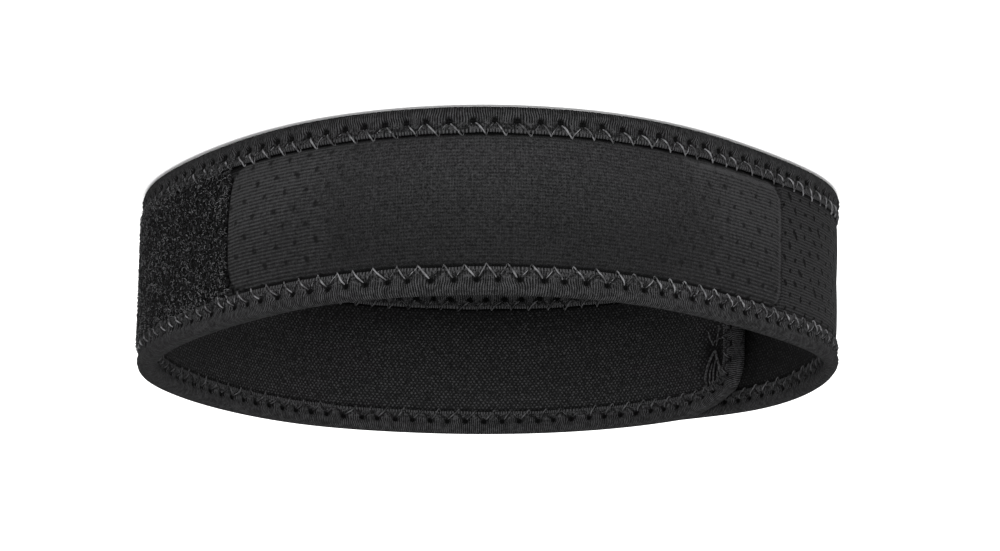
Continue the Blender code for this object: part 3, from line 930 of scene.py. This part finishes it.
# %% One curl of pile
clear_selection()
bpy.ops.mesh.primitive_circle_add(vertices=3, radius=0.00007, fill_type="NGON", location=(0, 0, 0))
curl = bpy.context.object
curl.name = "pile_curl"
bpy.ops.object.mode_set(mode="EDIT")
bpy.ops.mesh.select_all(action="SELECT")
spine = Vector((0, 0, 0))
for climb, lean in [(0.00032, 20), (0.00028, 65), (0.00024, 110)]:
    move = Vector((climb * sin(radians(lean)), 0, climb * cos(radians(lean))))
    bpy.ops.mesh.extrude_region_move(TRANSFORM_OT_translate={"value": move})
    spine += move
    bpy.ops.transform.rotate(value=radians(25), orient_axis="Y", center_override=spine)
bpy.ops.transform.resize(value=(0.4, 0.4, 0.4), center_override=spine)
bpy.ops.object.mode_set(mode="OBJECT")
curl_points = points_of(curl)
curl_faces = [tuple(face.vertices) for face in curl.data.polygons]
bpy.data.objects.remove(curl)
print("one curl:", len(curl_faces), "faces")


# %% Cover the facing with pile
def make_pile(name, seed, count, start, end):
    """Copies of the curl over the facing, in one mesh."""
    dice = np.random.default_rng(seed)
    run = dice.uniform(start, end, count)
    height = dice.uniform(FACING_LOW - 0.0006, STRAP_WIDTH - FACING_LOW + 0.0006, count)
    swing = dice.uniform(0, 2 * pi, count)
    size = dice.uniform(0.55, 1.15, count)
    lean = dice.normal(0.9, 0.35, count)
    x, y, z = (curl_points[:, i][None, :] * size[:, None] for i in range(3))
    tilted_x = x * np.cos(lean)[:, None] + z * np.sin(lean)[:, None]
    tilted_z = -x * np.sin(lean)[:, None] + z * np.cos(lean)[:, None]
    along = tilted_x * np.cos(swing)[:, None] - y * np.sin(swing)[:, None]
    across = tilted_x * np.sin(swing)[:, None] + y * np.cos(swing)[:, None]
    lift = dice.uniform(0.00005, 0.00030, count)[:, None] + tilted_z
    out = np.clip(lift, -0.0002, 0.00055) + 0.0001
    places = [run[:, None] + along, height[:, None] + across, out]
    places = [part.ravel() for part in places]
    faces = [tuple(v + i * len(curl_points) for v in face) for i in range(count) for face in curl_faces]
    mesh = bpy.data.meshes.new(name)
    mesh.from_pydata(np.zeros((len(places[0]), 3)), [], faces)
    pile = bpy.data.objects.new(name, mesh)
    bpy.context.scene.collection.objects.link(pile)
    shade = np.repeat(dice.uniform(0, 1, count), len(curl_points))
    lay_out_uv(pile, shade, places[1])
    move_points(pile, to_frame(*places))
    pile.data.flip_normals()
    pile.data.shade_smooth()
    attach(pile, "root")
    print(f"{name}: {count} curls, {len(faces)} faces")
    return pile


PILE_START = OVERLAP - 0.004
PILE_THIRD = (FACING_END - PILE_START) / 3
pile_back = make_pile("pile_back", 11, 8500, PILE_START, PILE_START + PILE_THIRD)
pile_side = make_pile("pile_side", 12, 8500, PILE_START + PILE_THIRD, FACING_END - PILE_THIRD)
pile_front = make_pile("pile_front", 13, 9500, FACING_END - PILE_THIRD, FACING_END - 0.0002)

# %% [markdown]
# The finishes. Every cloth here is black, so the weave shows by its relief and by small
# differences of grey. The tape is a fine rib knit: ribs run across it, and its raw edge shows
# a row of light loops. Its needle holes, the V-shaped crevices beside the thread and its raw
# edge between the loops are painted darker, as painted shade, and the inside thread is painted
# darker than the outside one, as painted shade inside the loop.

# %% Tape and thread finishes
tape_finish = Finish("ribbed_black_tape", 0.85, sheen=0.006)
along, across, place = tape_finish.flat_cloth()
cloud = tape_finish.noise(tape_finish.in_space(), 700.0, 3.0)
fuzz = tape_finish.noise(tape_finish.in_space(), 3600.0, 2.0).ramp(0.35, 0.7)
ribs = (along + cloud * 0.00030).wave(0.00044).ramp(0.15, 0.85)
raw_edge = across.ramp(0.0041, 0.0045)
beads = along.wave(0.0006).ramp(0.2, 0.7) * raw_edge
sewn = across.ramp(0.0026, 0.0034) * (1 - raw_edge)
from_hole = ((along / STITCH).fraction() - 0.5) * STITCH
below = across - 0.0026
# Painted shade: each needle hole is painted dark; the same mask also sinks it in the bump.
needle_hole_and_shade = 1 - ((from_hole * from_hole + below * below * 1.3) ** 0.5).ramp(0.00034, 0.00085)
pull = (below - from_hole.absolute() * 1.06).absolute() * 0.69
shadow = (1 - pull.ramp(0.00016, 0.00062)) * across.ramp(0.0025, 0.0028) * (0.7 - raw_edge * 0.4)
specks = tape_finish.noise(tape_finish.in_space(), 1900.0, 1.0).ramp(0.53, 0.62)
mottle = tape_finish.noise(tape_finish.in_space(), 1150.0, 2.0).ramp(0.32, 0.68)
rim = 1 - across.ramp(0.0004, 0.0018)
weave = ribs * (0.75 - sewn * 0.35) + fuzz * (0.25 + sewn * 0.25)
weave = weave * (0.62 + mottle * 0.7 - rim * 0.22) + specks * sewn * 1.5
# Painted shade: the light is taken down in the crevices beside the thread, at the raw edge between its
# loops, and in the needle holes.
light = (weave * (1 - shadow) * (1 - raw_edge * 0.5) + beads * 1.4) * (1 - needle_hole_and_shade)
tape_finish.colour(tape_finish.mix(light, grey(0.0010), grey(0.034)))
raised = ribs * (1 - raw_edge) + beads * 1.6 + fuzz * (0.3 + sewn * 0.9)
raised = raised + mottle * rim * 0.6 - needle_hole_and_shade * 1.5 - shadow * 1.2
tape_finish.relief(raised, 0.00022)
edge_tape.data.materials.append(tape_finish.material)

# Painted shade: the inside thread is given a darker grey than the outside one, for the shade inside the
# loop.
for thread, brightest in ((thread_outside, 0.11), (thread_inside, 0.05)):
    thread_finish = Finish(thread.name + "_twist", 0.6, sheen=0.006)
    twist = thread_finish.noise(thread_finish.in_space(), 2600.0, 2.0)
    patch = thread_finish.noise(thread_finish.in_space(), 700.0, 2.0).ramp(0.36, 0.66)
    thread_finish.colour(thread_finish.mix(patch * 0.75 + twist * 0.25, grey(0.008), grey(brightest)))
    thread_finish.relief(twist, 0.00005)
    thread.data.materials.append(thread_finish.material)

tuck_finish = Finish("gathered_lining", 0.8, sheen=0.006)
fuzz = tuck_finish.noise(tuck_finish.in_space(), 2400.0, 2.0)
tuck_finish.colour(tuck_finish.mix(fuzz.ramp(0.3, 0.7), grey(0.004), grey(0.040)))
tuck_finish.relief(fuzz, 0.00008)
tuck_folds.data.materials.append(tuck_finish.material)


# %% [markdown]
# The band's outside is a perforated knit: fine ribs with rows of pinholes, each row shifted by
# half a step. The lining has rows of tiny raised dots instead. Both are drawn from the flat
# places on the cloth, so they follow the strap round the leg. Painted shade darkens the band
# beside the tape and round the tuck, and the lining towards the lower rim and towards the tab.

# %% Band finish
def staggered(finish, along, across, long_step, high_step):
    """Distance to the nearest point of a staggered grid, in metres."""
    row = (across / high_step).floor()
    shift = (row * 0.5).fraction()
    a = ((along / long_step + shift).fraction() - 0.5) * long_step
    b = ((across / high_step).fraction() - 0.5) * high_step
    return (a * a + b * b) ** 0.5


band_finish = Finish("perforated_black_knit", 0.85, sheen=0.006)
along, across, place = band_finish.flat_cloth()
lining = band_finish.node("ShaderNodeAttribute", {"attribute_name": "lining_side"}, {}, "Fac")
# Painted shade: the lining is painted dark in the recess round the tuck.
hollow_and_shade = band_finish.node("ShaderNodeAttribute", {"attribute_name": "tuck_hollow_shade"}, {}, "Fac")
cloud = band_finish.noise(band_finish.in_space(), 900.0, 3.0)
fuzz = band_finish.noise(band_finish.in_space(), 3600.0, 2.0).ramp(0.35, 0.7)
from_edge = (across - STRAP_WIDTH / 2).absolute() * -1 + STRAP_WIDTH / 2
# Painted shade: the band is painted dark where it runs in under the tape.
seam_shade = 1 - from_edge.ramp(0.0046, 0.0058)
ribs = (across + cloud * 0.00022).wave(0.00055)
wander = band_finish.noise(place, 380.0, 2.0) * 0.0030
pinholes = 1 - staggered(band_finish, along + wander, across + wander, 0.0042, 0.0023).ramp(0.00030, 0.00066)
jitter = band_finish.noise(band_finish.in_space(), 1700.0, 1.0)
dots = staggered(band_finish, along + jitter * 0.0008, across + cloud * 0.0006, 0.00092, 0.00060)
dots = 1 - dots.ramp(0.00010, 0.00034)
outside = (ribs * 0.45 + fuzz * 0.32 + cloud * 0.2 - 0.06) * (1 - pinholes)
broken = band_finish.noise(band_finish.in_space(), 1300.0, 2.0).ramp(0.35, 0.65)
# Painted shade: the lining is painted darker towards the lower rim, on which the strap rests, and from a run
# of 0.375 m on, towards the tab.
shade = (across.ramp(0.006, 0.014) * 0.5 + 0.5) * (1 - along.ramp(0.375, 0.395) * 0.6)
inner = (dots * (0.05 + broken * 0.9 + fuzz * 0.5) + fuzz * 0.12 + cloud * 0.14) * shade
# Painted shade beside the tape and round the tuck is taken off the light here.
light = (outside * (1 - lining) + inner * lining) * (1 - seam_shade) * (1 - hollow_and_shade * 0.9)
band_finish.colour(band_finish.mix(light, grey(0.0012), grey(0.026)))
band_finish.relief(light - pinholes * (1 - lining) * 1.6, 0.00016)
band_knit.data.materials.append(band_finish.material)

# %% [markdown]
# The pad's knit has ribs along the strap. They are plain near both ends of the pad and fade at
# its middle, where the cloth is stretched over the padding. A few pinholes show near the ends.
# Painted shade darkens the cover towards its upper rim and beside the tape, and near its far end
# a ridge has a painted highlight with painted shade outside it.

# %% Pad finish
PAD_BEND = 0.0055
pad_finish = Finish("padded_black_knit", 0.85, sheen=0.006)
along, across, place = pad_finish.flat_cloth()
cloud = pad_finish.noise(pad_finish.in_space(), 1100.0, 3.0)
fuzz = pad_finish.noise(pad_finish.in_space(), 3600.0, 2.0).ramp(0.3, 0.7)
slow = pad_finish.noise(pad_finish.in_space(), 90.0, 3.0)
from_middle = (along - PAD_LENGTH / 2).absolute() * (2 / PAD_LENGTH)
ends = (from_middle + (slow - 0.5) * 0.5).ramp(0.45, 0.95)
from_edge = (across - STRAP_WIDTH / 2).absolute() * -1 + STRAP_WIDTH / 2
# Painted shade: the cover is painted dark in the groove beside the tape.
seam_shade = 1 - from_edge.ramp(0.0049, 0.0056)
ribs = (across + cloud * 0.00016).wave(0.00063)
wales = (along + cloud * 0.00016).wave(0.00046)
wander = pad_finish.noise(place, 300.0, 2.0) * 0.0024
pinholes = 1 - staggered(pad_finish, along + wander, across + wander, 0.0047, 0.0031).ramp(0.00025, 0.00075)
pinholes = pinholes * (from_middle + (slow - 0.5) * 0.6).ramp(0.25, 0.7)
broken = pad_finish.noise(pad_finish.in_space(), 1400.0, 3.0).ramp(0.36, 0.64)
weave = ribs * (ends * 0.8 + 0.24) * (0.6 + broken * 0.7) + wales * broken * 0.24 + fuzz * 0.46 - 0.04
# Painted shade: the cover is painted darker towards its upper rim, by up to about half.
shade = 1 - across.ramp(0.008, 0.026) * 0.48
to_end = (PAD_LENGTH - along) * -1 + PAD_BEND
to_side = (across - 0.0048) * -1 + PAD_BEND
end_part = to_end.ramp(0, PAD_BEND) * PAD_BEND
side_part = to_side.ramp(0, PAD_BEND) * PAD_BEND
inset = (end_part * end_part + side_part * side_part) ** 0.5 * -1 + PAD_BEND
# Painted highlight along a ridge 1.3 mm in from the pad's far end and lower edge, near that end, and painted
# shade outside the ridge.
ridge_highlight = (1 - (inset - 0.0013).absolute().ramp(0.0001, 0.0008)) * (along / PAD_LENGTH).ramp(0.7, 0.85)
shade_beside_ridge = (1 - inset.ramp(0.0003, 0.0008)) * (along / PAD_LENGTH).ramp(0.7, 0.85)
light = weave * (1 - pinholes * 0.9) + slow * 0.14 + ridge_highlight * 0.8
light = light * (1 - seam_shade) * shade * (1 - shade_beside_ridge * 0.7)
pad_finish.colour(pad_finish.mix(light, grey(0.0016), grey(0.026)))
pad_finish.relief(weave - pinholes * 0.6, 0.00020)
pad_cover.data.materials.append(pad_finish.material)

# %% [markdown]
# The pile's ground is almost black, and each curl has its own grey, kept in the piece's UV map.

# %% Pile and hook finishes
ground_finish = Finish("pile_ground", 0.95)
cloud = ground_finish.noise(ground_finish.in_space(), 1500.0, 3.0)
ground_finish.colour(ground_finish.mix(cloud.ramp(0.35, 0.75), grey(0.0008), grey(0.008)))
ground_finish.relief(cloud, 0.0003)
pile_backing.data.materials.append(ground_finish.material)

curl_finish = Finish("loop_pile_fibre", 0.7, sheen=0.006)
own_grey, across, place = curl_finish.flat_cloth()
curl_finish.colour(curl_finish.mix(own_grey ** 2.5, grey(0.002), grey(0.10)))
for pile in (pile_back, pile_side, pile_front):
    pile.data.materials.append(curl_finish.material)

hook_finish = Finish("hook_strip", 0.55)
cloud = hook_finish.noise(hook_finish.in_space(), 1400.0, 2.0)
hook_finish.colour(hook_finish.mix(cloud.ramp(0.4, 0.7), grey(0.006), grey(0.03)))
hook_finish.relief(cloud, 0.0002)
hook_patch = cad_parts["hook_patch"]
for slot in hook_patch.material_slots:
    slot.material = hook_finish.material
